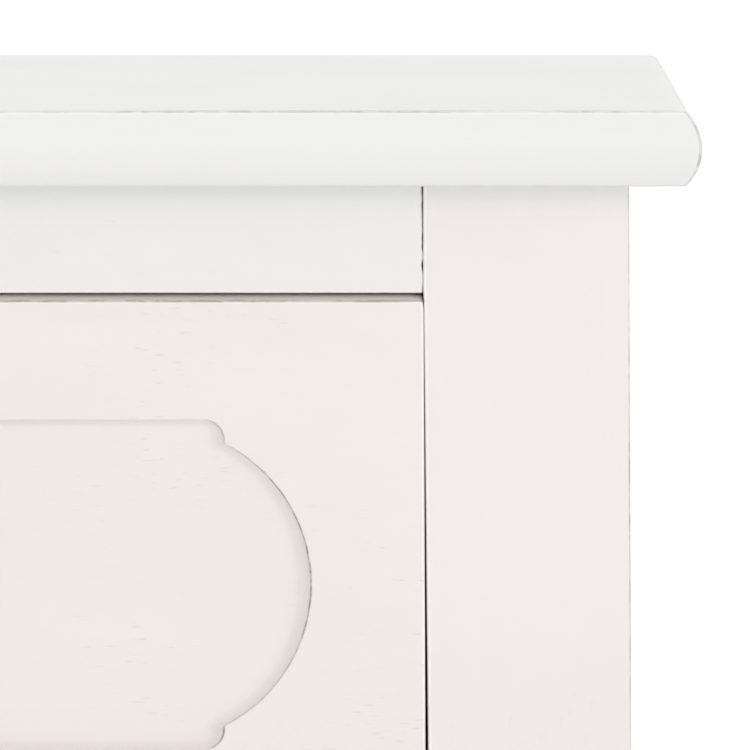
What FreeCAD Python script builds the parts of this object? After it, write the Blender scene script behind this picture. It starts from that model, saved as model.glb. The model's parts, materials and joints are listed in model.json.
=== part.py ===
import FreeCAD, Part
import math
import os

# A chest of three drawers for a 1:12 dolls' house, in millimetres.
# +X is the chest's right as it is faced, +Y its back, +Z up.
# The origin is the middle of the floor area that the whole chest covers, knobs included.

os.makedirs("parts", exist_ok=True)

# ---- driving dimensions ----

carcass_width = 84.0        # over the posts
carcass_depth = 38.0        # front face of the posts to their back face
total_height = 84.0
foot_height = 7.24          # floor to the underside of the bottom rail

top_thickness = 2.64
top_overhang = 2.47         # past the posts, at the crown of the moulded edge, front and sides
edge_bulge = 0.56           # how far the moulded edge swells beyond the flat top

post_size = 7.2             # square section
rail_height = 3.86          # top rail, bottom rail and the side rails
divider_height = 2.6
rail_depth = 5.0            # front to back
panel_inset = 0.9           # side panels, behind the outer face of the posts
panel_thickness = 1.8       # side panels and back panel
back_inset = 0.6            # back panel, in front of the back face of the posts
shelf_thickness = 1.6       # dust boards and bottom board
guide_height = 3.0          # strips that keep the drawers straight

drawer_names = ["top_drawer", "middle_drawer", "bottom_drawer"]
front_thickness = 3.0
front_gap_above = 0.09
front_gap_below = 0.1
front_gap_side = 0.06
front_height = 20.21
front_bevel_height = 0.18   # of the flat bevel along the top of a drawer front
front_bevel_depth = 0.5
box_gap_side = 0.3          # drawer box to guides
box_gap_back = 0.4          # drawer box to back panel, which stops the drawer
box_height = 15.7
board_thickness = 1.6       # drawer sides and backs
bottom_thickness = 1.0      # drawer bottoms
bottom_lift = 1.2           # underside of a drawer's bottom above its lower edge
groove_depth = 0.6          # in the sides and the front, for the drawer's bottom

recess_end_margin = 3.92    # end of the sunk panel to the end of the drawer front
recess_half_height = 5.81
recess_depth = 0.42
cove_radius = 0.36          # hollow between the recess's wall and its floor
ear_radius = 0.7            # outer corners of the sunk panel
lobe_radius = 5.58          # round ends of the sunk panel
lobe_sink = 2.52            # centre of a round end, in from the panel's square end
cusp_radius = 0.15          # where an ear meets a round end

knob_spacing = 30.0         # between a drawer's two knobs
knob_length = 3.92          # from the recess's floor to the crown
knob_head_radius = 1.95
knob_dome_radius = 2.35
knob_rim_rounding = 0.4
knob_neck_radius = 0.62
knob_neck_top = 1.4         # from the recess's floor to where the head begins
knob_neck_low = 0.8
knob_foot_radius = 1.2
knob_foot_height = 0.22
pin_radius = 0.49
pin_hole_radius = 0.5

soft_edge = 0.1             # rounding of sanded and painted edges

# ---- places worked out from them ----

half_width = carcass_width / 2
knob_proud = knob_length - recess_depth
front_y = -(carcass_depth - knob_proud) / 2
back_y = front_y + carcass_depth
opening_half_width = half_width - post_size
opening_height = front_gap_below + front_height + front_gap_above
top_underside = total_height - top_thickness
panel_inner_x = half_width - panel_inset - panel_thickness
back_panel_y = back_y - back_inset - panel_thickness

# The floor of each drawer's opening, from the top drawer down.
opening_floors = [
    top_underside - rail_height - opening_height - i * (opening_height + divider_height)
    for i in range(len(drawer_names))
]
recess_half_length = opening_half_width - front_gap_side - recess_end_margin

Z_AXIS = FreeCAD.Vector(0, 0, 1)


def vec(x, y, z):
    return FreeCAD.Vector(x, y, z)


def block(x0, x1, y0, y1, z0, z1):
    """A box between two corners, given as pairs along X, Y and Z."""
    return Part.makeBox(x1 - x0, y1 - y0, z1 - z0, vec(x0, y0, z0))


def edge_line(edge):
    """Where a straight edge runs: its lowest and its highest coordinates."""
    box = edge.BoundBox
    return (box.XMin, box.YMin, box.ZMin), (box.XMax, box.YMax, box.ZMax)


def rounded(shape, keep, radius=soft_edge):
    """The shape with a small rounding on each edge that keep(low, high) picks."""
    edges = [edge for edge in shape.Edges if keep(*edge_line(edge))]
    return shape.makeFillet(radius, edges)


def same(a, b):
    return abs(a - b) < 1e-6


def save(shape, name):
    solid = shape.Solids[0] if len(shape.Solids) == 1 else shape
    if not solid.isValid() or len(shape.Solids) != 1:
        raise ValueError(name + " is not one valid solid")
    solid.exportStep("parts/" + name + ".step")
    print(f"{name}: {solid.Volume:.1f} mm3")


# ---- carcass ----

def edge_arc(start, crown, end):
    return Part.Arc(start, crown, end).toShape()


def top_board():
    """A board whose front and side edges swell in one shallow arc, mitred at the corners."""
    z0, z1 = top_underside, total_height
    middle = (z0 + z1) / 2
    crown_x = half_width + top_overhang
    crown_y = front_y - top_overhang
    flat_x = crown_x - edge_bulge
    flat_y = crown_y + edge_bulge
    across = Part.Wire([
        Part.LineSegment(vec(-flat_x, crown_y, z0), vec(flat_x, crown_y, z0)).toShape(),
        edge_arc(vec(flat_x, crown_y, z0), vec(crown_x, crown_y, middle), vec(flat_x, crown_y, z1)),
        Part.LineSegment(vec(flat_x, crown_y, z1), vec(-flat_x, crown_y, z1)).toShape(),
        edge_arc(vec(-flat_x, crown_y, z1), vec(-crown_x, crown_y, middle), vec(-flat_x, crown_y, z0)),
    ])
    along = Part.Wire([
        edge_arc(vec(-crown_x, flat_y, z0), vec(-crown_x, crown_y, middle), vec(-crown_x, flat_y, z1)),
        Part.LineSegment(vec(-crown_x, flat_y, z1), vec(-crown_x, back_y, z1)).toShape(),
        Part.LineSegment(vec(-crown_x, back_y, z1), vec(-crown_x, back_y, z0)).toShape(),
        Part.LineSegment(vec(-crown_x, back_y, z0), vec(-crown_x, flat_y, z0)).toShape(),
    ])
    deep = Part.Face(across).extrude(vec(0, back_y - crown_y, 0))
    wide = Part.Face(along).extrude(vec(2 * crown_x, 0, 0))
    return deep.common(wide)


def post(side, rear):
    """A square corner post that runs to the floor as a foot."""
    x0, x1 = sorted((side * half_width, side * (half_width - post_size)))
    y0 = back_y - post_size if rear else front_y
    shape = block(x0, x1, y0, y0 + post_size, 0, top_underside)
    return rounded(shape, lambda low, high: not same(low[2], top_underside))


def front_rail(z0, height):
    """A rail between the front posts, flush with them, with its two long front edges rounded."""
    shape = block(-opening_half_width, opening_half_width,
                  front_y, front_y + rail_depth, z0, z0 + height)
    return rounded(shape, lambda low, high: same(high[1], front_y) and same(low[2], high[2])
                   and not same(high[2], top_underside))


def side_rail(side, z0):
    """A rail between a front post and a rear post, flush with their outer faces."""
    x0, x1 = sorted((side * half_width, side * panel_inner_x))
    shape = block(x0, x1, front_y + post_size, back_y - post_size, z0, z0 + rail_height)
    return rounded(shape, lambda low, high: same(low[0], high[0]) and same(low[2], high[2])
                   and same(low[0], side * half_width) and not same(high[2], top_underside))


def side_panel(side):
    """The board between the side rails, set back from the posts."""
    x0, x1 = sorted((side * (half_width - panel_inset), side * panel_inner_x))
    return block(x0, x1, front_y + post_size, back_y - post_size,
                 foot_height + rail_height, top_underside - rail_height)


def back_panel():
    return block(-opening_half_width, opening_half_width, back_panel_y,
                 back_y - back_inset, foot_height, top_underside)


def shelf(top_z):
    """A board that the drawer above slides on, notched round the posts."""
    shape = block(-panel_inner_x, panel_inner_x, front_y + rail_depth, back_panel_y,
                  top_z - shelf_thickness, top_z)
    for side in (-1, 1):
        x0, x1 = sorted((side * half_width, side * opening_half_width))
        for y0 in (front_y, back_y - post_size):
            shape = shape.cut(block(x0, x1, y0, y0 + post_size, 0, top_underside))
    return shape


def guide(side, floor_z):
    """A strip on a shelf, in line with the posts, that a drawer runs along."""
    x0, x1 = sorted((side * opening_half_width, side * panel_inner_x))
    return block(x0, x1, front_y + post_size, back_y - post_size,
                 floor_z, floor_z + guide_height)


# ---- drawers ----

def recess_end(side, z_middle):
    """The edges of one end of the sunk panel's outline, from its top to its bottom (or back)."""
    x_lobe = recess_half_length - lobe_radius
    x_end = x_lobe + lobe_sink
    x_cusp = x_end + cusp_radius
    z_cusp = math.sqrt((lobe_radius + cusp_radius) ** 2 - (x_cusp - x_lobe) ** 2)
    share = lobe_radius / (lobe_radius + cusp_radius)
    touch = (x_lobe + share * (x_cusp - x_lobe), share * z_cusp)
    toward_x = x_end - x_cusp + touch[0] - x_cusp
    toward_z = touch[1] - z_cusp
    toward = math.hypot(toward_x, toward_z)
    tip = (x_cusp + cusp_radius * toward_x / toward, z_cusp + cusp_radius * toward_z / toward)
    ear_x = x_end - ear_radius
    ear_z = recess_half_height - ear_radius
    ear_mid = (ear_x + ear_radius * math.sqrt(0.5), ear_z + ear_radius * math.sqrt(0.5))

    def at(x, z):
        return vec(side * x, front_y, z_middle + z)

    edges = []
    for up in (1, -1):
        edges.append(edge_arc(at(ear_x, up * recess_half_height), at(ear_mid[0], up * ear_mid[1]),
                              at(x_end, up * ear_z)))
        edges.append(Part.LineSegment(at(x_end, up * ear_z), at(x_end, up * z_cusp)).toShape())
        edges.append(edge_arc(at(x_end, up * z_cusp), at(tip[0], up * tip[1]),
                              at(touch[0], up * touch[1])))
    edges.append(edge_arc(at(*touch), at(recess_half_length, 0), at(touch[0], -touch[1])))
    return edges, ear_x


def recess(z_middle):
    """The space of the sunk panel: a long panel with eared, rounded ends and a coved wall."""
    right, ear_x = recess_end(1, z_middle)
    left, ear_x = recess_end(-1, z_middle)
    edges = right + left
    for up in (1, -1):
        z = z_middle + up * recess_half_height
        edges.append(Part.LineSegment(vec(-ear_x, front_y, z), vec(ear_x, front_y, z)).toShape())
    outline = Part.Wire(Part.__sortEdges__(edges))
    space = Part.Face(outline).extrude(vec(0, recess_depth, 0))
    floor_y = front_y + recess_depth
    around = [edge for edge in space.Edges if same(edge.BoundBox.YMin, floor_y)]
    return space.makeFillet(cove_radius, around)


def knob_x(side):
    return side * knob_spacing / 2


def groove_space(z0):
    """The space of a drawer's bottom, which its grooves fit."""
    half = drawer_half_width - board_thickness + groove_depth
    return block(-half, half, box_front_y - groove_depth, drawer_back_y,
                 z0 + bottom_lift, z0 + bottom_lift + bottom_thickness)


def face_middle(z0):
    """The height of the middle of a drawer front's flat face, where its panel and knobs sit."""
    return z0 + (front_height - front_bevel_height) / 2


def drawer_front(z0):
    """The inset front: bevelled along its top, with a sunk panel, pin holes and the bottom's groove."""
    half = opening_half_width - front_gap_side
    face_top = z0 + front_height - front_bevel_height
    section = Part.makePolygon([
        vec(-half, front_y, z0),
        vec(-half, front_y, face_top),
        vec(-half, front_y + front_bevel_depth, z0 + front_height),
        vec(-half, front_y + front_thickness, z0 + front_height),
        vec(-half, front_y + front_thickness, z0),
        vec(-half, front_y, z0),
    ])
    shape = Part.Face(section).extrude(vec(2 * half, 0, 0))
    shape = rounded(shape, lambda low, high: same(high[1], front_y) and not same(low[2], face_top))
    middle = face_middle(z0)
    shape = shape.cut(recess(middle))
    for side in (-1, 1):
        hole = Part.makeCylinder(pin_hole_radius, front_thickness, vec(knob_x(side), front_y, middle),
                                 vec(0, 1, 0))
        shape = shape.cut(hole)
    return shape.cut(groove_space(z0))


def drawer_side(side, z0):
    x0, x1 = sorted((side * drawer_half_width, side * (drawer_half_width - board_thickness)))
    shape = block(x0, x1, box_front_y, drawer_back_y, z0, z0 + box_height)
    shape = rounded(shape, lambda low, high: same(low[2], z0 + box_height) and low[1] < high[1])
    return shape.cut(groove_space(z0))


def drawer_back(z0):
    """Between the sides, standing on the bottom."""
    half = drawer_half_width - board_thickness
    shape = block(-half, half, drawer_back_y - board_thickness, drawer_back_y,
                  z0 + bottom_lift + bottom_thickness, z0 + box_height)
    return rounded(shape, lambda low, high: same(low[2], z0 + box_height) and low[0] < high[0])


def arc_about(centre_r, centre_out, radius, start, end):
    """An arc in the knob's half section, between two angles in degrees from the outward radius."""
    points = [vec(centre_r + radius * math.cos(math.radians(angle)), 0,
                  centre_out + radius * math.sin(math.radians(angle)))
              for angle in (start, (start + end) / 2, end)]
    return Part.Arc(*points), points[0], points[2]


def neck_cove(neck_out, edge_radius, edge_out):
    """A hollow arc that leaves the neck along it and ends at the given edge of the section."""
    reach, rise = edge_radius - knob_neck_radius, edge_out - neck_out
    radius = (reach ** 2 + rise ** 2) / (2 * reach)
    turn = math.degrees(math.atan2(rise, reach - radius))
    return arc_about(knob_neck_radius + radius, neck_out, radius, math.copysign(180, rise), turn)


def knob(side, z_middle):
    """A turned brass knob, with the pin that holds it in the drawer front."""
    rim_radius = knob_head_radius - knob_rim_rounding
    dome_centre = knob_length - knob_dome_radius
    inner = knob_dome_radius - knob_rim_rounding
    rim_centre = dome_centre + math.sqrt(inner ** 2 - rim_radius ** 2)
    tangent = math.degrees(math.acos(rim_radius / inner))
    dome, crown, shoulder = arc_about(0, dome_centre, knob_dome_radius, 90, tangent)
    rim, shoulder, rim_under = arc_about(rim_radius, rim_centre, knob_rim_rounding, tangent, -60)
    head_cove, neck_top, rim_under = neck_cove(knob_neck_top, rim_under.x, rim_under.z)
    foot_cove, neck_low, foot_edge = neck_cove(knob_neck_low, knob_foot_radius, knob_foot_height)
    pin_end = recess_depth - front_thickness
    corners = [foot_edge, vec(knob_foot_radius, 0, 0), vec(pin_radius, 0, 0),
               vec(pin_radius, 0, pin_end), vec(0, 0, pin_end), crown]
    straights = [Part.LineSegment(a, b) for a, b in zip(corners, corners[1:])]
    straights.append(Part.LineSegment(neck_top, neck_low))
    edges = [line.toShape() for line in [dome, rim, head_cove, foot_cove] + straights]
    face = Part.Face(Part.Wire(Part.__sortEdges__(edges)))
    shape = face.revolve(vec(0, 0, 0), Z_AXIS, 360)
    shape.rotate(vec(0, 0, 0), vec(1, 0, 0), 90)
    shape.translate(vec(knob_x(side), front_y + recess_depth, z_middle))
    return shape


box_front_y = front_y + front_thickness
drawer_back_y = back_panel_y - box_gap_back
drawer_half_width = opening_half_width - box_gap_side
sides = {"left": -1, "right": 1}

# ---- all the pieces ----

save(top_board(), "top_board")
save(front_rail(top_underside - rail_height, rail_height), "top_rail")
save(front_rail(opening_floors[0] - divider_height, divider_height), "upper_divider_rail")
save(front_rail(opening_floors[1] - divider_height, divider_height), "lower_divider_rail")
save(front_rail(foot_height, rail_height), "bottom_rail")
save(back_panel(), "back_panel")
for shelf_name, floor in zip(["upper_dust_board", "lower_dust_board", "bottom_board"], opening_floors):
    save(shelf(floor), shelf_name)

for side_name, side in sides.items():
    save(post(side, rear=False), "front_" + side_name + "_post")
    save(post(side, rear=True), "rear_" + side_name + "_post")
    save(side_rail(side, top_underside - rail_height), side_name + "_upper_side_rail")
    save(side_rail(side, foot_height), side_name + "_lower_side_rail")
    save(side_panel(side), side_name + "_side_panel")

for name, floor in zip(drawer_names, opening_floors):
    base = floor + front_gap_below
    save(drawer_front(base), name + "_front")
    save(drawer_back(base), name + "_back")
    save(groove_space(base), name + "_bottom")
    for side_name, side in sides.items():
        save(guide(side, floor), name + "_" + side_name + "_guide")
        save(drawer_side(side, base), name + "_" + side_name + "_side")
        save(knob(side, face_middle(base)), name + "_" + side_name + "_knob")
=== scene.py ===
import json
import math

import bpy
import numpy as np
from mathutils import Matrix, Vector, geometry, noise

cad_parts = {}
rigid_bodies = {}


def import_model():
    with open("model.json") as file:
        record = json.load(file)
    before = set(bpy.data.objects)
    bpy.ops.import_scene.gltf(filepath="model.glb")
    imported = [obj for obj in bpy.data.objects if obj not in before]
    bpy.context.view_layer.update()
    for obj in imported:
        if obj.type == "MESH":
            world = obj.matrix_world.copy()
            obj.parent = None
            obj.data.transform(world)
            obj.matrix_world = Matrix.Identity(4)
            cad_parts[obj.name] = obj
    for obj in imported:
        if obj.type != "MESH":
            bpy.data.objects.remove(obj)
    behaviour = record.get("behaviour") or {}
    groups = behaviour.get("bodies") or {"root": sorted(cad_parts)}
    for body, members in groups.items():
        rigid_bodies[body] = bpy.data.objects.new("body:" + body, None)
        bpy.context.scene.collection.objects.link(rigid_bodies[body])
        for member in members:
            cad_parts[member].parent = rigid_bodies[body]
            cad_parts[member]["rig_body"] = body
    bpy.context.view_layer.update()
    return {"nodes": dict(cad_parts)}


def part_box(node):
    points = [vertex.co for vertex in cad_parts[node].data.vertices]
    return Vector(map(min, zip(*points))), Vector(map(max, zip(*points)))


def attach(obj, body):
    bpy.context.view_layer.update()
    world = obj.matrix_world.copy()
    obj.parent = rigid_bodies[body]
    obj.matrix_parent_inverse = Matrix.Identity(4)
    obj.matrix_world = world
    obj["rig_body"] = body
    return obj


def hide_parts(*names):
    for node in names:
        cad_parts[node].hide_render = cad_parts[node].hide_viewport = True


# The looks of a miniature chest of drawers. Lengths are in metres unless a name ends in _mm.

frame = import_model()
nodes = frame["nodes"]
MM = 0.001
TINY = 1e-7                     # a length that counts as none

DRAWERS = ["top_drawer", "middle_drawer", "bottom_drawer"]


# ---------------------------------------------------------------- material graphs

class Graph:
    """A material's node tree, written as short calls that return output sockets."""

    def __init__(self, name):
        self.material = bpy.data.materials.new(name)
        self.material.use_nodes = True
        self.tree = self.material.node_tree
        self.tree.nodes.clear()
        self.coords = self.node("ShaderNodeTexCoord").outputs["Object"]

    def node(self, kind, **settings):
        made = self.tree.nodes.new(kind)
        for key, value in settings.items():
            setattr(made, key, value)
        return made

    def feed(self, socket, value):
        if isinstance(value, bpy.types.NodeSocket):
            self.tree.links.new(value, socket)
        elif isinstance(value, (tuple, list)) and len(value) == 3 and socket.type == "RGBA":
            socket.default_value = (*value, 1.0)
        else:
            socket.default_value = value

    def math(self, operation, a, b=0.0, c=0.0, clamp=False):
        made = self.node("ShaderNodeMath", operation=operation, use_clamp=clamp)
        for socket, value in zip(made.inputs, (a, b, c)):
            self.feed(socket, value)
        return made.outputs[0]

    def add(self, a, b):
        return self.math("ADD", a, b)

    def times(self, a, b):
        return self.math("MULTIPLY", a, b)

    def ramp(self, value, low, high, to_low=0.0, to_high=1.0):
        """A smooth step of value from to_low at low to to_high at high."""
        made = self.node("ShaderNodeMapRange", interpolation_type="SMOOTHSTEP")
        for socket, number in zip(made.inputs, (value, low, high, to_low, to_high)):
            self.feed(socket, number)
        return made.outputs[0]

    def mix(self, share, a, b):
        made = self.node("ShaderNodeMix", data_type="RGBA")
        for socket, value in zip((made.inputs[0], made.inputs[6], made.inputs[7]), (share, a, b)):
            self.feed(socket, value)
        return made.outputs[2]

    def stretched(self, along, stretch, shift=(0.0, 0.0, 0.0)):
        """The object's own coordinates in millimetres, drawn out along one axis."""
        scale = [1 / MM] * 3
        scale["XYZ".index(along)] /= stretch
        made = self.node("ShaderNodeMapping")
        self.feed(made.inputs["Vector"], self.coords)
        made.inputs["Scale"].default_value = scale
        made.inputs["Location"].default_value = shift
        return made.outputs[0]

    def noise(self, coords, per_mm, detail=2.0, roughness=0.5, distortion=0.0):
        made = self.node("ShaderNodeTexNoise")
        self.feed(made.inputs["Vector"], coords)
        made.inputs["Scale"].default_value = per_mm
        made.inputs["Detail"].default_value = detail
        made.inputs["Roughness"].default_value = roughness
        made.inputs["Distortion"].default_value = distortion
        return made.outputs["Fac"]

    def height_mm(self):
        apart = self.node("ShaderNodeSeparateXYZ")
        self.feed(apart.inputs[0], self.coords)
        return self.times(apart.outputs["Z"], 1 / MM)

    def attribute(self, name):
        return self.node("ShaderNodeAttribute", attribute_name=name).outputs["Fac"]

    def bump(self, height, depth, under=None):
        made = self.node("ShaderNodeBump")
        self.feed(made.inputs["Height"], height)
        made.inputs["Distance"].default_value = depth
        if under is not None:
            self.feed(made.inputs["Normal"], under)
        return made.outputs[0]

    def surface(self, **inputs):
        shader = self.node("ShaderNodeBsdfPrincipled")
        for key, value in inputs.items():
            self.feed(shader.inputs[key.replace("_", " ")], value)
        output = self.node("ShaderNodeOutputMaterial")
        self.tree.links.new(shader.outputs[0], output.inputs["Surface"])
        return self.material


PALE_WOOD, WARM_WOOD, DARK_WOOD = (0.66, 0.50, 0.33), (0.50, 0.34, 0.19), (0.27, 0.17, 0.09)
SAWN_WOOD = (0.36, 0.25, 0.15)
CLEAN_BRASS, TARNISHED_BRASS = (0.80, 0.58, 0.26), (0.36, 0.23, 0.09)

# Each paint as its tint and the deeper shade it drifts to.
NEUTRAL = ((0.872, 0.868, 0.858), (0.858, 0.856, 0.838))
RAIL = ((0.868, 0.850, 0.840), (0.856, 0.842, 0.828))
PINKISH = ((0.900, 0.838, 0.836), (0.884, 0.826, 0.822))
CREAMY = ((0.893, 0.836, 0.802), (0.876, 0.824, 0.788))
WASHED = ((0.80, 0.78, 0.74), (0.74, 0.71, 0.66))

UNDER_TOP_SHADE = (0.872, 0.880, 0.860)       # painted shade tint just below the top board, under its overhang
UNDER_TOP_SHADE_MM = (80.1, 81.25)            # the heights between which it comes in
DULL = (0.3, 0.28, 0.26)                # a little of this makes the paint darker towards the bottom
DULL_MM = (59.0, 69.0)                  # the heights between which it fades out
PORE = (0.50, 0.44, 0.38)
PAINTED_HIGHLIGHT = (0.99, 0.98, 0.96)        # painted highlight, a white line beside an arris
# Dark of rubbed arrises, and painted shade where the edge mask marks shaded places.
WEAR_AND_SHADE = (0.33, 0.29, 0.26)


def wood_colour(graph, along):
    """Bare basswood: pale, with soft growth bands, fine fibres and short pores."""
    bands = graph.noise(graph.stretched(along, 14), 0.55, 3, 0.55, 0.6)
    fibres = graph.noise(graph.stretched(along, 30), 6.0, 3, 0.6)
    pores = graph.ramp(graph.noise(graph.stretched(along, 12), 9.0, 1), 0.62, 0.72)
    colour = graph.mix(graph.ramp(bands, 0.35, 0.68), PALE_WOOD, WARM_WOOD)
    colour = graph.mix(graph.ramp(fibres, 0.35, 0.7, 0.0, 0.45), colour, PALE_WOOD)
    return graph.mix(graph.times(pores, 0.35), colour, DARK_WOOD), fibres, pores


def paint(name, tint, shade, along, pore_share, wear_and_shade, even_wear_and_shade=0.2, painted_highlight=0.3, wash=0.0, body=True):
    """Thin satin paint brushed over wood: faint grain and pores, dark arrises, and a painted highlight by
    them.

    pore_share, wear_and_shade, painted_highlight and wash are how strongly the pores, the dark arrises, the
    painted highlight beside them and the wood show. The dark arrises are rubbed paint, and painted shade
    where the edge mask marks shaded places. They are patchy, down to the share even_wear_and_shade. With
    body, the paint takes a painted shade tint just below the top board and grows a little darker towards
    the bottom.
    """
    graph = Graph(name)
    soft = graph.stretched(along, 2.5)
    streaky = graph.stretched(along, 18)
    blotches = graph.noise(soft, 0.16, 3, 0.55)
    brush = graph.noise(streaky, 2.6, 4, 0.6)
    dashes = graph.noise(graph.stretched(along, 9), 15.0, 1.0, 0.5)
    where = graph.noise(graph.stretched(along, 1.5, (3.0, 7.0, 5.0)), 0.22, 2)
    edge = graph.attribute("edge")
    bare = graph.attribute("bare")

    pores = graph.times(graph.ramp(dashes, 0.68, 0.80), graph.ramp(where, 0.46, 0.66))
    colour = graph.mix(graph.ramp(blotches, 0.3, 0.7), tint, shade)
    colour = graph.mix(graph.ramp(brush, 0.42, 0.75, 0.0, 0.35), colour, shade)
    if body:
        # Painted shade: a neutral tint just below the top board, where its overhang shades the paint.
        colour = graph.mix(graph.ramp(graph.height_mm(), *UNDER_TOP_SHADE_MM), colour, UNDER_TOP_SHADE)
        # A little darker towards the bottom.
        colour = graph.mix(graph.ramp(graph.height_mm(), *DULL_MM, 0.06, 0.0), colour, DULL)
    colour = graph.mix(graph.times(pores, pore_share), colour, PORE)

    crumbs = graph.noise(graph.stretched(along, 3), 4.5, 4, 0.7)
    patches = graph.noise(graph.stretched(along, 3, (9.0, 2.0, 4.0)), 0.5, 2)
    # Darkening along the edge mask: rubbed paint at the arrises, and painted shade in the recess walls,
    # along the top board's mitre, on the posts' outer arrises and at the rails' upper ends.
    darkening = graph.times(graph.ramp(edge, 0.2, 0.9), graph.ramp(crumbs, 0.40, 0.60, even_wear_and_shade, 1.0))
    darkening = graph.times(darkening, graph.ramp(patches, 0.36, 0.56, even_wear_and_shade, 1.0))
    # Painted highlight: a white line along the mesh line beside each arris.
    highlight_share = graph.times(graph.attribute("painted_highlight"), graph.ramp(crumbs, 0.35, 0.6, 1.0, 0.6))
    colour = graph.mix(graph.times(highlight_share, painted_highlight), colour, PAINTED_HIGHLIGHT)
    colour = graph.mix(graph.times(darkening, wear_and_shade), colour, WEAR_AND_SHADE)

    wood, fibres, _ = wood_colour(graph, along)
    ragged = graph.ramp(graph.add(bare, graph.times(graph.add(crumbs, -0.5), 0.5)), 0.4, 0.6)
    if wash:
        ragged = graph.math("MAXIMUM", ragged, graph.ramp(fibres, 0.35, 0.75, 0.0, wash))
    colour = graph.mix(ragged, colour, wood)

    film = graph.noise(graph.stretched(along, 2), 7.0, 3, 0.6)
    height = graph.add(graph.times(brush, 0.5), graph.times(film, 0.12))
    height = graph.add(height, graph.times(pores, -0.6))
    height = graph.add(height, graph.times(graph.times(ragged, fibres), 0.4))
    rough = graph.add(graph.ramp(brush, 0.3, 0.7, 0.42, 0.54), graph.times(ragged, 0.22))
    return graph.surface(Base_Color=colour, Roughness=rough,
                         Normal=graph.bump(height, 0.012 * MM), Specular_IOR_Level=0.42)


def bare_wood(name, along):
    """Unpainted basswood with faint saw marks across it."""
    graph = Graph(name)
    colour, fibres, pores = wood_colour(graph, along)
    saw = graph.noise(graph.stretched("Z", 1.0), 3.0, 3, 0.6)
    colour = graph.mix(graph.ramp(saw, 0.3, 0.7, 0.0, 0.12), colour, SAWN_WOOD)
    height = graph.add(graph.times(fibres, 0.6), graph.times(pores, -0.7))
    rough = graph.ramp(fibres, 0.3, 0.7, 0.58, 0.74)
    return graph.surface(Base_Color=colour, Roughness=rough,
                         Normal=graph.bump(height, 0.02 * MM), Specular_IOR_Level=0.3)


def brass(name):
    """Turned brass: rings from the lathe, thin tarnish in the hollows."""
    graph = Graph(name)
    turning = graph.attribute("turning")
    hollow = graph.attribute("hollow")
    mottled = graph.noise(graph.stretched("X", 1.0), 2.2, 4, 0.6)
    rings = graph.node("ShaderNodeTexNoise", noise_dimensions="1D")
    graph.feed(rings.inputs["W"], turning)
    rings.inputs["Scale"].default_value = 9.0
    rings.inputs["Detail"].default_value = 4.0
    specks = graph.ramp(mottled, 0.45, 0.75, 0.0, 0.35)
    tarnish = graph.math("ADD", graph.times(hollow, 0.65), specks, clamp=True)
    colour = graph.mix(tarnish, CLEAN_BRASS, TARNISHED_BRASS)
    rough = graph.add(graph.ramp(mottled, 0.3, 0.7, 0.2, 0.34), graph.times(tarnish, 0.22))
    return graph.surface(Base_Color=colour, Roughness=rough, Metallic=1.0,
                         Normal=graph.bump(rings.outputs["Fac"], 0.006 * MM))


top_paint = paint("top_paint", *NEUTRAL, "X", pore_share=0.04, wear_and_shade=0.6, even_wear_and_shade=0.4, body=False)
rail_paint = paint("rail_paint", *RAIL, "X", pore_share=0.05, wear_and_shade=0.8, even_wear_and_shade=0.6, painted_highlight=0.2)
side_rail_paint = paint("side_rail_paint", *RAIL, "Y", pore_share=0.08, wear_and_shade=0.45)
post_paint = paint("post_paint", *PINKISH, "Z", pore_share=0.05, wear_and_shade=0.8, even_wear_and_shade=0.5, painted_highlight=1.0)
panel_paint = paint("panel_paint", *RAIL, "Z", pore_share=0.08, wear_and_shade=0.45)
drawer_paint = paint("drawer_paint", *CREAMY, "X", pore_share=0.25, wear_and_shade=1.0, even_wear_and_shade=0.5, painted_highlight=1.0)
back_paint = paint("back_paint", *WASHED, "Z", pore_share=0.5, wear_and_shade=0.45, wash=0.5)
wood_along = {axis: bare_wood("bare_wood_" + axis.lower(), axis) for axis in "XY"}
knob_brass = brass("knob_brass")


# ---------------------------------------------------------------- meshes


def wobble(point, size_mm, seed):
    """Smooth noise from 0 to 1, with features about size_mm across."""
    place = Vector(point) / (size_mm * MM) + Vector((seed * 7.31, seed * 3.17, seed * 5.71))
    return 0.5 + 0.5 * noise.noise(place)


def uneven(spot, size_mm, seed):
    """From 0 to 1: how deep a hand has sanded or painted at a spot."""
    return 0.6 * wobble(spot, size_mm, seed) + 0.4 * wobble(spot, 0.2, seed + 1)


def inside(polygon, spots):
    """Which of the 2-D spots lie inside a closed polygon."""
    a, b = polygon, np.roll(polygon, -1, axis=0)
    x, z = spots[:, :1], spots[:, 1:]
    crosses = (a[:, 1] > z) != (b[:, 1] > z)
    rise = np.where(b[:, 1] == a[:, 1], 1.0, b[:, 1] - a[:, 1])
    before = x < a[:, 0] + (z - a[:, 1]) * (b[:, 0] - a[:, 0]) / rise
    return np.sum(crosses & before, axis=1) % 2 == 1


SLIVER = 1e-4                   # twice the area, in mm2, below which a triangle is left out
CLEAR_OF_RIM = 0.45             # how far inner points keep from a patch's rim, in grid steps


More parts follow.
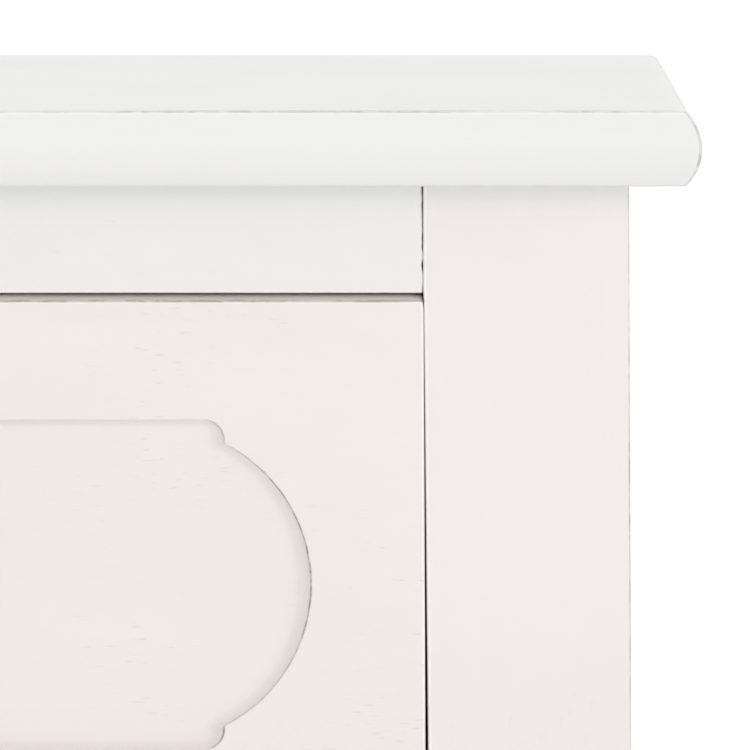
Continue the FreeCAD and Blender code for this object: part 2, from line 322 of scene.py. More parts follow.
class Shell:
    """A mesh being put together, with the three masks that the paint reads."""

    def __init__(self):
        self.points, self.faces = [], []
        self.masks = {"edge": [], "bare": [], "painted_highlight": []}

    def point(self, spot, edge=0.0, bare=0.0, painted_highlight=0.0):
        self.points.append(Vector(spot))
        for mask, value in zip(self.masks.values(), (edge, bare, painted_highlight)):
            mask.append(value)
        return len(self.points) - 1

    def band(self, ring_a, ring_b):
        """Quads between two closed rings with the same number of points."""
        for i in range(len(ring_a)):
            j = (i + 1) % len(ring_a)
            self.faces.append((ring_a[i], ring_a[j], ring_b[j], ring_b[i]))

    def fill_flat(self, outer, holes=(), spacing=1.2 * MM):
        """Triangles over a flat patch that faces -Y, between an outer ring and any holes in it."""
        rings = [outer, *holes]
        flat = [np.array([(self.points[v].x, self.points[v].z) for v in ring]) / MM for ring in rings]
        y = self.points[outer[0]].y

        def within(spots):
            found = inside(flat[0], spots)
            for hole in flat[1:]:
                found &= ~inside(hole, spots)
            return found

        step = spacing / MM
        low, high = flat[0].min(0), flat[0].max(0)
        grid = np.array([(x, z) for x in np.arange(low[0] + step / 2, high[0], step)
                         for z in np.arange(low[1] + step / 2, high[1], step)])
        grid = grid[within(grid)]
        rim = np.concatenate(flat)
        gap = np.sqrt(((grid[:, None, :] - rim[None, :, :]) ** 2).sum(2)).min(1)
        grid = grid[gap > CLEAR_OF_RIM * step]
        numbers = [v for ring in rings for v in ring]
        numbers += [self.point((x * MM, y, z * MM)) for x, z in grid]
        sides, start = [], 0
        for ring in rings:
            sides += [(start + i, start + (i + 1) % len(ring)) for i in range(len(ring))]
            start += len(ring)
        spots = np.concatenate([rim, grid])
        made = geometry.delaunay_2d_cdt([Vector(p) for p in spots], sides, [], 0, 1e-6)
        origin = [source[0] for source in made[3]]
        triangles = np.array(made[2])
        corners = np.array([tuple(p) for p in made[0]])[triangles]
        one, two = corners[:, 1] - corners[:, 0], corners[:, 2] - corners[:, 0]
        wide = np.abs(one[:, 0] * two[:, 1] - one[:, 1] * two[:, 0]) > SLIVER
        for triangle in triangles[within(corners.mean(1)) & wide]:
            self.faces.append([numbers[origin[v]] for v in triangle])

    def finish(self, name, material, smooth_angle=40):
        used = sorted({v for face in self.faces for v in face})
        number = {v: i for i, v in enumerate(used)}
        mesh = bpy.data.meshes.new(name)
        mesh.from_pydata([tuple(self.points[v]) for v in used], [],
                         [[number[v] for v in face] for face in self.faces])
        for mask, values in self.masks.items():
            layer = mesh.attributes.new(mask, "FLOAT", "POINT")
            layer.data.foreach_set("value", np.array([values[v] for v in used], np.float32))
        mesh.materials.append(material)
        mesh.validate()
        mesh.shade_smooth()
        mesh.set_sharp_from_angle(angle=math.radians(smooth_angle))
        made = bpy.data.objects.new(name, mesh)
        bpy.context.scene.collection.objects.link(made)
        return made


def stand_for(piece, node):
    """The finished piece rides with its CAD node's body and hides it."""
    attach(piece, nodes[node]["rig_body"])
    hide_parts(node)
    return piece


# ---------------------------------------------------------------- boards

ARRIS_STEPS = 3                 # faces across the rounding of an arris
FLAT = ARRIS_STEPS + 2          # the mesh line where the open flat part of a front starts
GUARDS = (1.5, 2.3)             # two more mesh lines beside each arris, in radii from the board's side
CHEW = 0.4                      # how deep sanding and paint bite into an arris, in radii
BACK, UNDER = (1, True), (2, False)     # an axis, and whether its high side


def board_lines(low, high, radius, spacing):
    """Places of the mesh lines along one side of a board, with how near each is to an arris."""
    turns = [math.tan(math.radians(45) * (1 - k / ARRIS_STEPS)) for k in range(ARRIS_STEPS + 1)]
    start = [(low + radius * (1 - t), 1 - k / ARRIS_STEPS) for k, t in enumerate(turns)]
    end = [(high - radius * (1 - t), 1 - k / ARRIS_STEPS) for k, t in enumerate(turns)]
    first, second = GUARDS[0] * radius, GUARDS[1] * radius
    clear = high - low - 2 * second
    count = max(1, round(clear / spacing))
    inner = [low + first]
    inner += [low + second + clear * i / count for i in range(count + 1)]
    inner += [high - first]
    return start + [(place, 0.0) for place in inner] + end[::-1]


class Board(Shell):
    """A board with rounded arrises that a hand has sanded and painted a little unevenly.

    The chew is how deep the unevenness bites, as a share of the radius. With open_front, the flat part
    of the front is left for fill_flat.
    """

    def __init__(self, low, high, radius, spacing, bare_sides, seed, chew, shape=None, open_front=False):
        super().__init__()
        self.shape = shape
        self.lines = [board_lines(low[a], high[a], radius, spacing[a]) for a in range(3)]
        self.last = [len(line) - 1 for line in self.lines]
        self.core = [(low[a] + radius, high[a] - radius) for a in range(3)]
        self.radius, self.bare_sides, self.seed, self.chew = radius, bare_sides, seed, chew
        self.found = {}
        for a in range(3):
            b, c = (a + 1) % 3, (a + 2) % 3
            for side in (0, self.last[a]):
                for v in range(self.last[b]):
                    for w in range(self.last[c]):
                        on_flat = FLAT <= v < self.last[b] - FLAT and FLAT <= w < self.last[c] - FLAT
                        if open_front and (a, side) == (1, 0) and on_flat:
                            continue
                        quad = [self.at(a, side, b, v + dv, c, w + dw)
                                for dv, dw in ((0, 0), (1, 0), (1, 1), (0, 1))]
                        self.faces.append(quad if side else quad[::-1])

    def at(self, a, side, b, v, c, w):
        """The point at one crossing of the mesh lines, made when it is first asked for."""
        key = [0, 0, 0]
        key[a], key[b], key[c] = side, v, w
        key = tuple(key)
        if key not in self.found:
            raw = Vector([self.lines[i][key[i]][0] for i in range(3)])
            near = sorted(self.lines[i][key[i]][1] for i in range(3))[1]
            core = Vector([min(max(raw[i], self.core[i][0]), self.core[i][1]) for i in range(3)])
            out = (raw - core).normalized()
            spot = core + out * self.radius
            if near > 0:
                bite = uneven(spot, 0.8, self.seed)
                spot -= out * (self.radius * self.chew * bite * near)
            inward = [min(key[i], self.last[i] - key[i]) for i in range(3)]
            bare = near == 0 and any(key[i] == (self.last[i] if up else 0) for i, up in self.bare_sides)
            # The mesh line beside each arris carries the painted highlight.
            painted_highlight = near == 0 and any(ARRIS_STEPS <= lines < FLAT for lines in inward)
            if self.shape:
                spot = self.shape(spot)
            self.found[key] = self.point(spot, near, float(bare), float(painted_highlight))
        return self.found[key]

    def front_rim(self):
        """The ring round the open flat part of the front, anticlockwise as seen from the front."""
        right, top = self.last[0] - FLAT, self.last[2] - FLAT
        ring = [(i, FLAT) for i in range(FLAT, right)] + [(right, k) for k in range(FLAT, top)]
        ring += [(i, top) for i in range(right, FLAT, -1)] + [(FLAT, k) for k in range(top, FLAT, -1)]
        return [self.found[(i, 0, k)] for i, k in ring]


def seed_of(name):
    return sum(map(ord, name)) % 97


def board(node, material, along, radius_mm, bare_sides=()):
    """A CAD board again with softened arrises; it stands for the node."""
    low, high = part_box(node)
    spacing = [2.5 * MM] * 3
    spacing["XYZ".index(along)] = 0.4 * MM
    made = Board(low, high, radius_mm * MM, spacing, bare_sides, seed_of(node), CHEW)
    return stand_for(made.finish(node + "_finished", material), node)


# ---------------------------------------------------------------- how the front is out of true

post_low, post_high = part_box("front_right_post")

FLARE_MM, FLARE_START_MM, FLARE_REACH_MM = 0.16, 77.0, 15.6     # the openings widen downward
PINCH_MM, PINCH_START_MM, PINCH_REACH_MM = 0.034, 77.6, 0.4     # above here they are narrower still
LEAN_MM, LEAN_START_MM, LEAN_REACH_MM = 0.11, 81.0, 19.4        # the posts' outer faces lean outward

POST_ARRIS = 0.055 * MM
POST_LINES = (2.5 * MM, 2.5 * MM, 0.25 * MM)        # spacing of its mesh lines along x, y and z
SHADE_LINE = 0.065 * MM          # the front face takes painted shade to this distance from a post's outer face

RAIL_ARRIS = 0.05 * MM
RAIL_LINES = (0.4 * MM, 0.6 * MM, 0.12 * MM)        # the same for a rail
RAIL_END = 0.35 * MM            # the length at a rail's end that is out of true
RAIL_DIP = 0.03 * MM            # how far its upper corner lies behind the posts' faces
LEAST_GAP_MM = 0.003
DARK_END_REACH, DARK_END_FROM = 0.14 * MM, 0.6      # painted shade at the upper part of a rail's ends: its reach from the end, and the share of its height where it starts


def fall(z, start_mm, reach_mm):
    """From 0 at a height and above it to 1 at the end of a reach below it."""
    return min(max((start_mm - z / MM) / reach_mm, 0.0), 1.0)


def forward(spot):
    """From 0 at the front posts' backs to 1 at their fronts."""
    return 1 - min(max((spot.y - post_low.y) / (post_high.y - post_low.y), 0.0), 1.0)


def flare(spot):
    """How far outward the front posts' inner faces stand."""
    out_mm = FLARE_MM * fall(spot.z, FLARE_START_MM, FLARE_REACH_MM)
    in_mm = PINCH_MM * (1 - fall(spot.z, PINCH_START_MM, PINCH_REACH_MM))
    return (out_mm - in_mm) * MM * forward(spot)


def lean(spot):
    """How far outward the front posts' outer faces stand."""
    return LEAN_MM * MM * fall(spot.z, LEAN_START_MM, LEAN_REACH_MM) * forward(spot)


def outward(spot, out):
    return spot + Vector((out if spot.x > 0 else -out, 0, 0))


def post_shape(spot):
    share = (abs(spot.x) - post_low.x) / (post_high.x - post_low.x)
    return outward(spot, flare(spot) * (1 - share) + lean(spot) * share)


def front_post(node):
    """A painted highlight lies by the opening; the outer arris is darkened, with painted shade where the
    face turns away.
    """
    low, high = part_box(node)
    shell = Board(low, high, POST_ARRIS, POST_LINES, [UNDER], seed_of(node), CHEW, post_shape)
    edge, painted_highlight = shell.masks["edge"], shell.masks["painted_highlight"]
    middle = (post_low.x + post_high.x) / 2
    for i, spot in enumerate(shell.points):
        if abs(spot.x) < middle:
            edge[i] *= 0.5
            continue
        # Painted shade: the outer arris is darkened three times as much, on top of the rubbing, where the
        # face turns away, and so is the mesh line beside it on the front face.
        edge[i] = min(1.0, 3 * edge[i])
        by_outside = post_high.x + lean(spot) - abs(spot.x) < SHADE_LINE
        if painted_highlight[i] and by_outside and spot.y < low.y + TINY:
            edge[i] = 0.6
        painted_highlight[i] = 0.0
    return stand_for(shell.finish(node + "_finished", post_paint), node)


def rail_shape(node):
    """A front rail cut a hair short, with slightly ragged ends that dip behind the posts' faces."""
    low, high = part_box(node)
    seed = seed_of(node)

    def shape(spot):
        near_end = max(0.0, 1 - (high.x - abs(spot.x)) / RAIL_END)
        place = (math.copysign(5 * MM, spot.x), spot.y, spot.z)
        rise = (spot.z - low.z) / (high.z - low.z)
        ragged_mm = 0.03 * wobble(place, 1.1, seed) + 0.09 * wobble(place, 0.3, seed + 1)
        gap_mm = max(0.022 * rise + ragged_mm - 0.044, LEAST_GAP_MM)
        moved = outward(spot, (flare(spot) - gap_mm * MM) * near_end)
        if spot.y < (low.y + high.y) / 2:
            moved.y += RAIL_DIP * rise * near_end ** 2
        return moved
    return shape


def front_rail(node):
    """Painted shade darkens the upper part of its ends, where they dip toward the posts."""
    low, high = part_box(node)
    shell = Board(low, high, RAIL_ARRIS, RAIL_LINES, [BACK], seed_of(node), CHEW, rail_shape(node))
    # Painted shade on the upper part of each end.
    for i, spot in enumerate(shell.points):
        by_end = high.x - abs(spot.x) < DARK_END_REACH and spot.z > low.z + DARK_END_FROM * (high.z - low.z)
        if by_end and not shell.masks["edge"][i]:
            shell.masks["edge"][i] = 0.5
            shell.masks["painted_highlight"][i] = 0.0
    return stand_for(shell.finish(node + "_finished", rail_paint), node)


# ---------------------------------------------------------------- top board

BULGE = 0.56 * MM               # how far the moulded edge swells past the flat top
TOP_ARRIS = 0.05 * MM
TOP_BITE = 0.03 * MM            # the deepest unevenness of its arrises
TOP_SPACING = 0.3 * MM          # between the mesh lines across the moulding


def top_section(thickness):
    """The moulded edge from its upper arris to its lower one: (out, up, edge mask, painted highlight mask).
    """
    half = thickness / 2
    radius = (half ** 2 + BULGE ** 2) / (2 * BULGE)
    turn = math.asin(half / radius)
    steps = 36
    first = 0.03                # the share of the turn that each arris's rounding takes
    arc = []
    for k in range(steps + 1):
        angle = turn * (1 - first) * (1 - 2 * k / steps)
        # The station just below the upper arris carries the painted highlight.
        mask = {0: (0.8, 0.0), 1: (0.0, 1.0), steps: (0.4, 0.0)}.get(k, (0.0, 0.0))
        arc.append((radius * (math.cos(angle) - math.cos(turn)), radius * math.sin(angle), *mask))
    upper = [(-20 * TOP_ARRIS, half, 0.0, 0.0), (-10 * TOP_ARRIS, half, 0.7, 0.0),
             (-TOP_ARRIS, half, 0.9, 0.0), (-0.25 * TOP_ARRIS, half - 0.2 * TOP_ARRIS, 1.0, 0.0)]
    lower = [(-0.25 * TOP_ARRIS, 0.2 * TOP_ARRIS - half, 0.7, 0.0), (-TOP_ARRIS, -half, 0.4, 0.0),
             (-4 * TOP_ARRIS, -half, 0.0, 0.0)]
    return upper + arc + lower


def run_shares(length, spacing, mitred_start):
    """Shares of a run where its mesh lines lie, closer by a mitre, with how near a mitre each is."""
    by_mitre = [(0.0, 1.0), (0.08 * MM / length, 0.8), (0.15 * MM / length, 0.0)]
    count = round(length / spacing)
    start = by_mitre if mitred_start else [(0.0, 0.0)]
    middle = [(i / count, 0.0) for i in range(1, count)]
    return start + middle + [(1 - share, near) for share, near in reversed(by_mitre)]


def top_board():
    """The moulded edge is swept along the left side, the front and the right side, mitred between."""
    low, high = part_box("top_board")
    middle = (low.z + high.z) / 2
    section = top_section(high.z - low.z)
    flat_x, flat_y, back_y = high.x - BULGE, low.y + BULGE, high.y
    left = run_shares(back_y - flat_y, TOP_SPACING, False)
    front = run_shares(2 * flat_x, TOP_SPACING, True)
    stations = [("left", share, near) for share, near in left]
    stations += [("front", share, near) for share, near in front[1:]]
    stations += [("right", share, near) for share, near in left[::-1][1:]]
    shell = Shell()
    for run, share, mitre in stations:
        for out, up, near, painted_highlight in section:
            if run == "front":
                spot = Vector(((2 * share - 1) * (flat_x + out), flat_y - out, middle + up))
                inward = Vector((0, 1, 0))
            else:
                side = -1 if run == "left" else 1
                reach = back_y - flat_y + out
                spot = Vector((side * (flat_x + out), back_y - share * reach, middle + up))
                inward = Vector((-side, 0, 0))
            downward = Vector((0, 0, -math.copysign(0.5, up)))
            spot += (inward + downward) * (uneven(spot, 0.9, 3) * near * TOP_BITE)
            darkening = 0.0
            # Painted shade: a dark line along the mitre, at the silhouette's edge, darker lower down.
            if out > 0:
                lower_down = 0.5 - up / (high.z - low.z)
                darkening = min(1.0, mitre * (0.75 + 0.4 * lower_down + 0.2 * wobble(spot, 0.5, 6)))
            elif out < 0 and run != "front":
                near *= 0.2
            shell.point(spot, max(near, darkening), 0.0, painted_highlight)
    rows, columns = len(stations), len(section)
    for i in range(rows - 1):
        for j in range(columns - 1):
            a = i * columns + j
            shell.faces.append((a, a + 1, a + columns + 1, a + columns))
    shell.faces.append([i * columns for i in range(rows)])
    shell.faces.append([i * columns + columns - 1 for i in reversed(range(rows))])
    shell.faces.append(list(range(columns))[::-1] + [(rows - 1) * columns + j for j in range(columns)])
    return stand_for(shell.finish("top_board_finished", top_paint, 35), "top_board")


# ---------------------------------------------------------------- drawer fronts

FRONT_ARRIS = 0.045 * MM
FRONT_CHEW = 0.5
FRONT_SPACING = 0.4 * MM
BEVEL_HEIGHT, BEVEL_DEPTH = 0.18 * MM, 0.5 * MM      # along the top of the front
BEVEL_FADE = 0.45 * MM          # the height over which the push that makes the bevel fades out
END_REACH = 3.4 * MM            # the length at a front's end that is out of true
END_OUT, FLARE_SHARE = 0.047 * MM, 0.44     # how far it reaches, and how much of the flare it follows
CORNER = 0.3 * MM               # the upper corners, rubbed down and in over this distance
CORNER_IN, CORNER_DOWN = 0.04 * MM, 0.06 * MM
OUTLINE_SPACING = 0.13 * MM
WANDER = 0.04 * MM              # how far the recess's edges stray
RECESS_END_MARGIN = 3.92 * MM
RECESS_HALF_HEIGHT = 5.81 * MM
RECESS_DEPTH = 0.42 * MM
COVE = 0.8 * MM                 # radius of the hollow wall
COVE_SLOPE = math.radians(60)   # its slope where it meets the face
EAR = 0.7 * MM                  # radius of the rounded corners
LOBE = 5.58 * MM                # radius of the round ends
LOBE_SINK = 2.52 * MM           # from a round end's centre to the corners' end line
CUSP = 0.15 * MM                # radius of the cusps between a round end and its corners
RECESS_ARRIS = 0.05 * MM
LEVEL_WALLS = 0.5               # how much narrower the hollow wall is above and below than at the ends


def arc_points(centre, radius, start, end, inward, spacing):
    """Points and inward normals along an arc. inward is -1 where the arc's centre is in the recess."""
    count = max(3, round(abs(end - start) * (radius + 0.3 * MM) / spacing))
    found = []
    for i in range(count + 1):
        angle = start + (end - start) * i / count
        way = Vector((math.cos(angle), math.sin(angle)))
        found.append((Vector(centre) + way * radius, way * inward))
    return found


def recess_outline(half_length, spacing):
    """The sunk panel's outline about its own centre, anticlockwise: points and inward normals."""
    lobe_x = half_length - LOBE
    end_x = lobe_x + LOBE_SINK
    cusp_x = end_x + CUSP
    cusp_z = math.sqrt((LOBE + CUSP) ** 2 - (cusp_x - lobe_x) ** 2)
    lobe_turn = math.atan2(cusp_z, cusp_x - lobe_x)
    ear_x, ear_z = end_x - EAR, RECESS_HALF_HEIGHT - EAR
    quarter = arc_points((lobe_x, 0), LOBE, 0, lobe_turn, -1, spacing)
    quarter += arc_points((cusp_x, cusp_z), CUSP, lobe_turn - math.pi, -math.pi, 1, spacing)
    quarter += arc_points((ear_x, ear_z), EAR, 0, math.pi / 2, -1, spacing)
    count = round(ear_x / (2 * spacing))
    quarter += [(Vector((ear_x * (1 - i / count), RECESS_HALF_HEIGHT)), Vector((0, -1)))
                for i in range(1, count + 1)]
    whole = []
    for flip_x, flip_z in ((1, 1), (-1, 1), (-1, -1), (1, -1)):
        turned = [(Vector((p.x * flip_x, p.y * flip_z)), Vector((n.x * flip_x, n.y * flip_z)))
                  for p, n in quarter]
        for p, n in turned if flip_x == flip_z else turned[::-1]:
            if not whole or (p - whole[-1][0]).length > 0.05 * spacing:
                whole.append((p, n))
    if (whole[0][0] - whole[-1][0]).length < 0.05 * spacing:
        whole.pop()
    return whole


def recess_section():
    """From the face down the hollow wall to the floor: (inward, deep, edge mask)."""
    section = [(-3 * RECESS_ARRIS, 0.0, 0.0), (-RECESS_ARRIS, 0.0, 0.35)]
    for k in (1, 2):
        turn = COVE_SLOPE * k / 2
        section.append((-RECESS_ARRIS * (1 - math.sin(turn)), RECESS_ARRIS * (1 - math.cos(turn)), 0.85))
    run, lip = COVE * math.sin(COVE_SLOPE), RECESS_DEPTH - COVE * (1 - math.cos(COVE_SLOPE))
    steps = 12
    for k in range(steps + 1):
        turn = COVE_SLOPE * (1 - k / steps)
        deep = lip + COVE * (math.cos(turn) - math.cos(COVE_SLOPE))
        # Down the hollow wall the edge mask is painted shade; at the arris it is rubbed paint as well.
        mask = {0: 0.85, 1: 0.35}.get(k, 0.3 if k < 10 else 0.0)
        section.append((run - COVE * math.sin(turn), deep, mask))
    return section + [((run + EAR) / 2, RECESS_DEPTH, 0.0)]


def drawer_shape(low, high):
    """The bevel along the top, and ends that follow the posts at a thin uneven distance."""
    def shape(spot):
        moved = spot.copy()
        # The push is whole down to a third of BEVEL_FADE, and fades out over BEVEL_FADE below that.
        near_top = min(max((spot.z - high.z) / BEVEL_FADE + 4 / 3, 0.0), 1.0)
        moved.z -= BEVEL_HEIGHT * near_top * max(0.0, 1 - (spot.y - low.y) / BEVEL_DEPTH)
        near_end = min(max((abs(spot.x) - high.x) / END_REACH + 1, 0.0), 1.0)
        moved = outward(moved, near_end * (END_OUT + FLARE_SHARE * flare(spot)))
        by_side = max(0.0, 1 - (high.x - abs(spot.x)) / CORNER)
        by_top = max(0.0, 1 - (high.z - spot.z) / CORNER)
        rubbed = (by_side * by_top) ** 2
        return outward(moved, -CORNER_IN * rubbed) - Vector((0, 0, CORNER_DOWN * rubbed))
    return shape


def drawer_front(name):
    """A front with its bevel rubbed down, its recess sunk with painted shade down its hollow wall, and its
    lower arrises half as dark.
    """
    node = name + "_front"
    low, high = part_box(node)
    centre = (low + high) / 2
    centre.z -= BEVEL_HEIGHT / 2
    seed = seed_of(node)
    shell = Board(low, high, FRONT_ARRIS, [FRONT_SPACING] * 3, [BACK], seed, FRONT_CHEW,
                  drawer_shape(low, high), open_front=True)
    edge, painted_highlight = shell.masks["edge"], shell.masks["painted_highlight"]
    for i, spot in enumerate(shell.points):
        if spot.z > high.z - 1.3 * BEVEL_HEIGHT:
            if painted_highlight[i] and spot.y < low.y + BEVEL_DEPTH:
                edge[i] = 1.0
            painted_highlight[i] = 0.0
        elif spot.z < high.z - 1.5 * BEVEL_HEIGHT:
            edge[i] *= 0.5
    outline = recess_outline(high.x - RECESS_END_MARGIN - centre.x, OUTLINE_SPACING)
    rings = []
    for inward, deep, near in recess_section():
        ring = []
        for spot, normal in outline:
            place = (spot.x, deep, spot.y)
            wander = near * WANDER * (wobble(place, 0.9, seed) + wobble(place, 0.22, seed + 2) - 1)
            reach = inward * (1 - LEVEL_WALLS * abs(normal.y)) if inward > 0 else inward
            at = spot + normal * (reach + wander)
            # The painted shade in the recess is strongest at the round ends.
            by_end = 0.45 + 0.55 * abs(normal.x)
            ring.append(shell.point((centre.x + at.x, low.y + deep, centre.z + at.y), near * by_end))
        rings.append(ring)
    for outer, inner in zip(rings, rings[1:]):
        shell.band(outer, inner)
    shell.fill_flat(shell.front_rim(), [rings[0]])
    shell.fill_flat(rings[-1])
    return stand_for(shell.finish(node + "_finished", drawer_paint), node)


# ---------------------------------------------------------------- knobs

KNOB_LENGTH = 3.92 * MM         # from the recess's floor to the crown
KNOB_HEAD, KNOB_DOME, KNOB_RIM = 1.95 * MM, 2.35 * MM, 0.4 * MM     # radii
KNOB_NECK = 0.62 * MM           # radius of the straight part of the neck
KNOB_NECK_TOP, KNOB_NECK_LOW = 1.4 * MM, 0.8 * MM       # where that part ends, from the recess's floor
KNOB_FOOT, KNOB_FOOT_HEIGHT = 1.2 * MM, 0.22 * MM
KNOB_PIN = 0.49 * MM
PIN_PROUD = 0.03 * MM           # how far the pin stands out behind the drawer front
FOOT_BEVEL = 0.05 * MM
KNOB_SEGMENTS = 72


def section_arc(centre_r, centre_out, radius, start, end, steps, hollow):
    """Points (radius, out, hollow mask) along an arc of the knob's half section."""
    return [(centre_r + radius * math.cos(math.radians(start + (end - start) * k / steps)),
             centre_out + radius * math.sin(math.radians(start + (end - start) * k / steps)), hollow)
            for k in range(steps + 1)]


def neck_cove(neck_out, edge_r, edge_out):
    """A hollow arc from the neck to an edge of the section."""
    reach, rise = edge_r - KNOB_NECK, edge_out - neck_out
    radius = (reach ** 2 + rise ** 2) / (2 * reach)
    turn = math.degrees(math.atan2(rise, reach - radius))
    return section_arc(KNOB_NECK + radius, neck_out, radius, math.copysign(180, rise), turn, 14, 1.0)


def knob_section(pin_end):
    """The knob's half section from its crown to the end of its pin."""
    rim_r = KNOB_HEAD - KNOB_RIM
    inner = KNOB_DOME - KNOB_RIM
    dome_centre = KNOB_LENGTH - KNOB_DOME
    rim_centre = dome_centre + math.sqrt(inner ** 2 - rim_r ** 2)
    tangent = math.degrees(math.acos(rim_r / inner))
    section = section_arc(0, dome_centre, KNOB_DOME, 90, tangent, 18, 0.0)
    section += section_arc(rim_r, rim_centre, KNOB_RIM, tangent, -60, 12, 0.0)[1:]
    section += neck_cove(KNOB_NECK_TOP, section[-1][0], section[-1][1])[::-1][1:]
    section += neck_cove(KNOB_NECK_LOW, KNOB_FOOT, KNOB_FOOT_HEIGHT)
    foot_r = KNOB_FOOT + FOOT_BEVEL / 2
    section += [(foot_r, KNOB_FOOT_HEIGHT - FOOT_BEVEL, 0.3), (foot_r, 0.0, 1.0)]
    return section + [(KNOB_PIN, 0.0, 1.0), (KNOB_PIN, pin_end, 0.0)]


def knob(node, front_node):
    """The turned knob, with the distance along its section and its hollows marked for the brass."""
    low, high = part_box(node)
    front_low, front_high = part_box(front_node)
    axis_x, axis_z = (low.x + high.x) / 2, (low.z + high.z) / 2
    floor_y = front_low.y + RECESS_DEPTH
    section = knob_section(-(front_high.y + PIN_PROUD - floor_y))
    shell = Shell()
    turning, along = [], 0.0
    previous = section[0]
    rings = []
    for radius, out, hollow in section:
        along += math.hypot(radius - previous[0], out - previous[1])
        previous = (radius, out)
        if radius < TINY:
            rings.append([shell.point((axis_x, floor_y - out, axis_z), hollow)])
            turning.append(along / MM)
            continue
        ring = []
        for k in range(KNOB_SEGMENTS):
            angle = 2 * math.pi * k / KNOB_SEGMENTS
            ring.append(shell.point((axis_x + radius * math.cos(angle), floor_y - out,
                                     axis_z + radius * math.sin(angle)), hollow))
            turning.append(along / MM)
        rings.append(ring)
    crown = rings[0][0]
    for k in range(KNOB_SEGMENTS):
        shell.faces.append((crown, rings[1][k], rings[1][(k + 1) % KNOB_SEGMENTS]))
    for inner, outer in zip(rings[1:], rings[2:]):
        shell.band(outer, inner)
    shell.faces.append(rings[-1][::-1])
    made = shell.finish(node + "_finished", knob_brass, 30)
    layer = made.data.attributes.new("turning", "FLOAT", "POINT")
    layer.data.foreach_set("value", np.array(turning, np.float32))
    made.data.attributes["edge"].name = "hollow"
    return stand_for(made, node)


# ---------------------------------------------------------------- all the pieces

top_board()
for side in ("left", "right"):
    front_post(f"front_{side}_post")
    board(f"rear_{side}_post", post_paint, "Z", 0.08, [UNDER])
    board(f"{side}_upper_side_rail", side_rail_paint, "Y", 0.07)
    board(f"{side}_lower_side_rail", side_rail_paint, "Y", 0.07)
    board(f"{side}_side_panel", panel_paint, "Z", 0.05)
for node in ("top_rail", "upper_divider_rail", "lower_divider_rail", "bottom_rail"):
    front_rail(node)
board("back_panel", back_paint, "Z", 0.06)
for name in DRAWERS:
    drawer_front(name)
    for side in ("left", "right"):
        knob(f"{name}_{side}_knob", f"{name}_front")

WOOD_ARRIS = 0.06 * MM

# The CAD boards that are seen bare, with the way their grain runs.
shown_wood = {"upper_dust_board": "X", "lower_dust_board": "X", "bottom_board": "X"}
for name in DRAWERS:
    shown_wood.update({f"{name}_back": "X", f"{name}_bottom": "X"})
    for side in ("left", "right"):
        shown_wood.update({f"{name}_{side}_side": "Y", f"{name}_{side}_guide": "Y"})
for node, along in shown_wood.items():
    piece = nodes[node]
    for slot in piece.material_slots:
        slot.material = wood_along[along]
    softened = piece.modifiers.new("softened", "BEVEL")
    softened.width = WOOD_ARRIS
    softened.segments = 2
    softened.limit_method = "ANGLE"
    softened.angle_limit = math.radians(50)
    softened.harden_normals = True


# ---------------------------------------------------------------- floor, light and camera

PALE_WITHIN, WHITE_BEYOND = 0.07, 0.26      # distances on the floor from the chest's middle

# Strengths of the studio's light from each part of the world, and of the backdrop the camera sees.
LOW_FRONT, HIGH_FRONT, OVERHEAD, FROM_RIGHT, ALL_ROUND = 1.22, 0.38, 0.95, 0.8, 0.44
BACKDROP = 1.3


def floor_material():
    """Pale near the chest, where its shadow falls, and plain white further out."""
    graph = Graph("pale_floor")
    far = graph.node("ShaderNodeVectorMath", operation="LENGTH")
    graph.feed(far.inputs[0], graph.coords)
    share = graph.ramp(far.outputs["Value"], PALE_WITHIN, WHITE_BEYOND)
    near = graph.node("ShaderNodeBsdfDiffuse")
    near.inputs["Color"].default_value = (0.9, 0.9, 0.9, 1)
    white = graph.node("ShaderNodeEmission")
    seen = graph.node("ShaderNodeLightPath").outputs["Is Camera Ray"]
    graph.feed(white.inputs["Strength"], graph.math("MULTIPLY_ADD", seen, 0.2, 0.9))
    mixed = graph.node("ShaderNodeMixShader")
    graph.feed(mixed.inputs[0], share)
    graph.feed(mixed.inputs[1], near.outputs[0])
    graph.feed(mixed.inputs[2], white.outputs[0])
    output = graph.node("ShaderNodeOutputMaterial")
    graph.feed(output.inputs["Surface"], mixed.outputs[0])
    return graph.material


def floor(radius=6.0, segments=96):
    mesh = bpy.data.meshes.new("floor")
    turns = [2 * math.pi * k / segments for k in range(segments)]
    ring = [(radius * math.cos(turn), radius * math.sin(turn), 0.0) for turn in turns]
    mesh.from_pydata(ring, [], [list(range(segments))])
    mesh.materials.append(floor_material())
    made = bpy.data.objects.new("floor", mesh)
    bpy.context.scene.collection.objects.link(made)


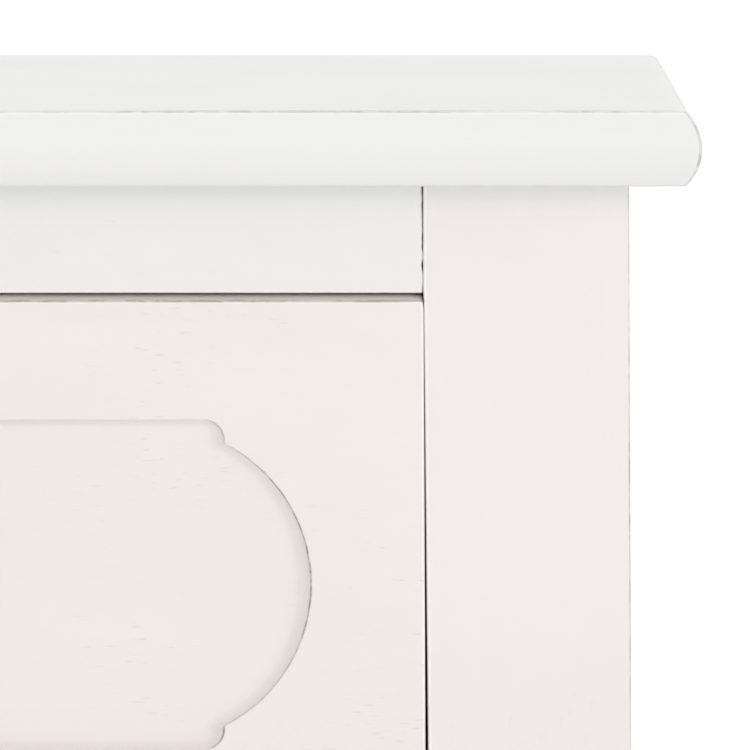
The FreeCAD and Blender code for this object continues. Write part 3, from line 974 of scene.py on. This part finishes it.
def studio_world():
    """Soft light from the front, from overhead and from the right; the backdrop itself is white."""
    world = bpy.data.worlds.new("studio")
    bpy.context.scene.world = world
    world.use_nodes = True
    tree = world.node_tree
    tree.nodes.clear()
    way = tree.nodes.new("ShaderNodeTexCoord")
    split = tree.nodes.new("ShaderNodeSeparateXYZ")
    tree.links.new(way.outputs["Generated"], split.inputs[0])
    x, y, z = split.outputs

    def math_node(operation, a, b):
        made = tree.nodes.new("ShaderNodeMath")
        made.operation = operation
        for socket, value in zip(made.inputs, (a, b)):
            if isinstance(value, bpy.types.NodeSocket):
                tree.links.new(value, socket)
            else:
                socket.default_value = value
        return made.outputs[0]

    def step(value, low, high, to_low, to_high):
        made = tree.nodes.new("ShaderNodeMapRange")
        made.interpolation_type = "SMOOTHSTEP"
        tree.links.new(value, made.inputs[0])
        for socket, number in zip(made.inputs[1:5], (low, high, to_low, to_high)):
            socket.default_value = number
        return made.outputs[0]

    ahead = math_node("MAXIMUM", math_node("MULTIPLY", y, -1.0), 0.0)
    low_ahead = math_node("MULTIPLY", ahead, step(z, 0.08, 0.25, 0.0, LOW_FRONT))
    low_ahead = math_node("MULTIPLY", low_ahead, step(z, 0.4, 0.6, 1.0, 0.0))
    high_ahead = math_node("MULTIPLY", step(z, 0.4, 0.6, 0.0, HIGH_FRONT), step(y, -0.2, 0.1, 1.0, 0.0))
    overhead = math_node("MULTIPLY", step(z, 0.2, 0.5, 0.0, OVERHEAD), step(y, -0.2, 0.1, 0.0, 1.0))
    right = math_node("MULTIPLY", math_node("MAXIMUM", x, 0.0), FROM_RIGHT)
    light = math_node("ADD", math_node("ADD", low_ahead, high_ahead), math_node("ADD", overhead, right))
    light = math_node("ADD", light, ALL_ROUND)
    seen = tree.nodes.new("ShaderNodeLightPath").outputs["Is Camera Ray"]
    shown = math_node("MAXIMUM", light, math_node("MULTIPLY", seen, BACKDROP))
    background = tree.nodes.new("ShaderNodeBackground")
    tree.links.new(shown, background.inputs["Strength"])
    output = tree.nodes.new("ShaderNodeOutputWorld")
    tree.links.new(background.outputs[0], output.inputs["Surface"])


def soft_light(name, spot, target, size, power):
    data = bpy.data.lights.new(name, "AREA")
    data.shape = "DISK"
    data.size = size
    data.energy = power
    made = bpy.data.objects.new(name, data)
    made.location = spot
    made.rotation_euler = (Vector(target) - Vector(spot)).to_track_quat("-Z", "Y").to_euler()
    bpy.context.scene.collection.objects.link(made)


FIELD_OF_VIEW = math.radians(4.27)
VIEW_DISTANCE = 0.3532
LOOK_DOWN = math.radians(4.6246)
AIM_INSIDE_POST = 8.92 * MM     # left of the right post's outer edge
AIM_BELOW_TOP = 9.38 * MM       # under the top board's upper face


def camera():
    """Straight at the upper right corner of the front, from a little above."""
    top_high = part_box("top_board")[1]
    aim = Vector((post_high.x - AIM_INSIDE_POST, post_low.y, top_high.z - AIM_BELOW_TOP))
    data = bpy.data.cameras.new("camera")
    data.angle = FIELD_OF_VIEW
    data.clip_start = 0.01
    data.clip_end = 20
    made = bpy.data.objects.new("camera", data)
    made.location = aim + VIEW_DISTANCE * Vector((0, -math.cos(LOOK_DOWN), math.sin(LOOK_DOWN)))
    made.rotation_euler = (math.pi / 2 - LOOK_DOWN, 0, 0)
    bpy.context.scene.collection.objects.link(made)
    bpy.context.scene.camera = made


floor()
studio_world()
soft_light("key", spot=(0.35, -1.4, 0.36), target=(0.02, 0, 0.05), size=0.9, power=2.6)
camera()
view = bpy.context.scene.view_settings
view.view_transform = "Standard"
view.look = "None"
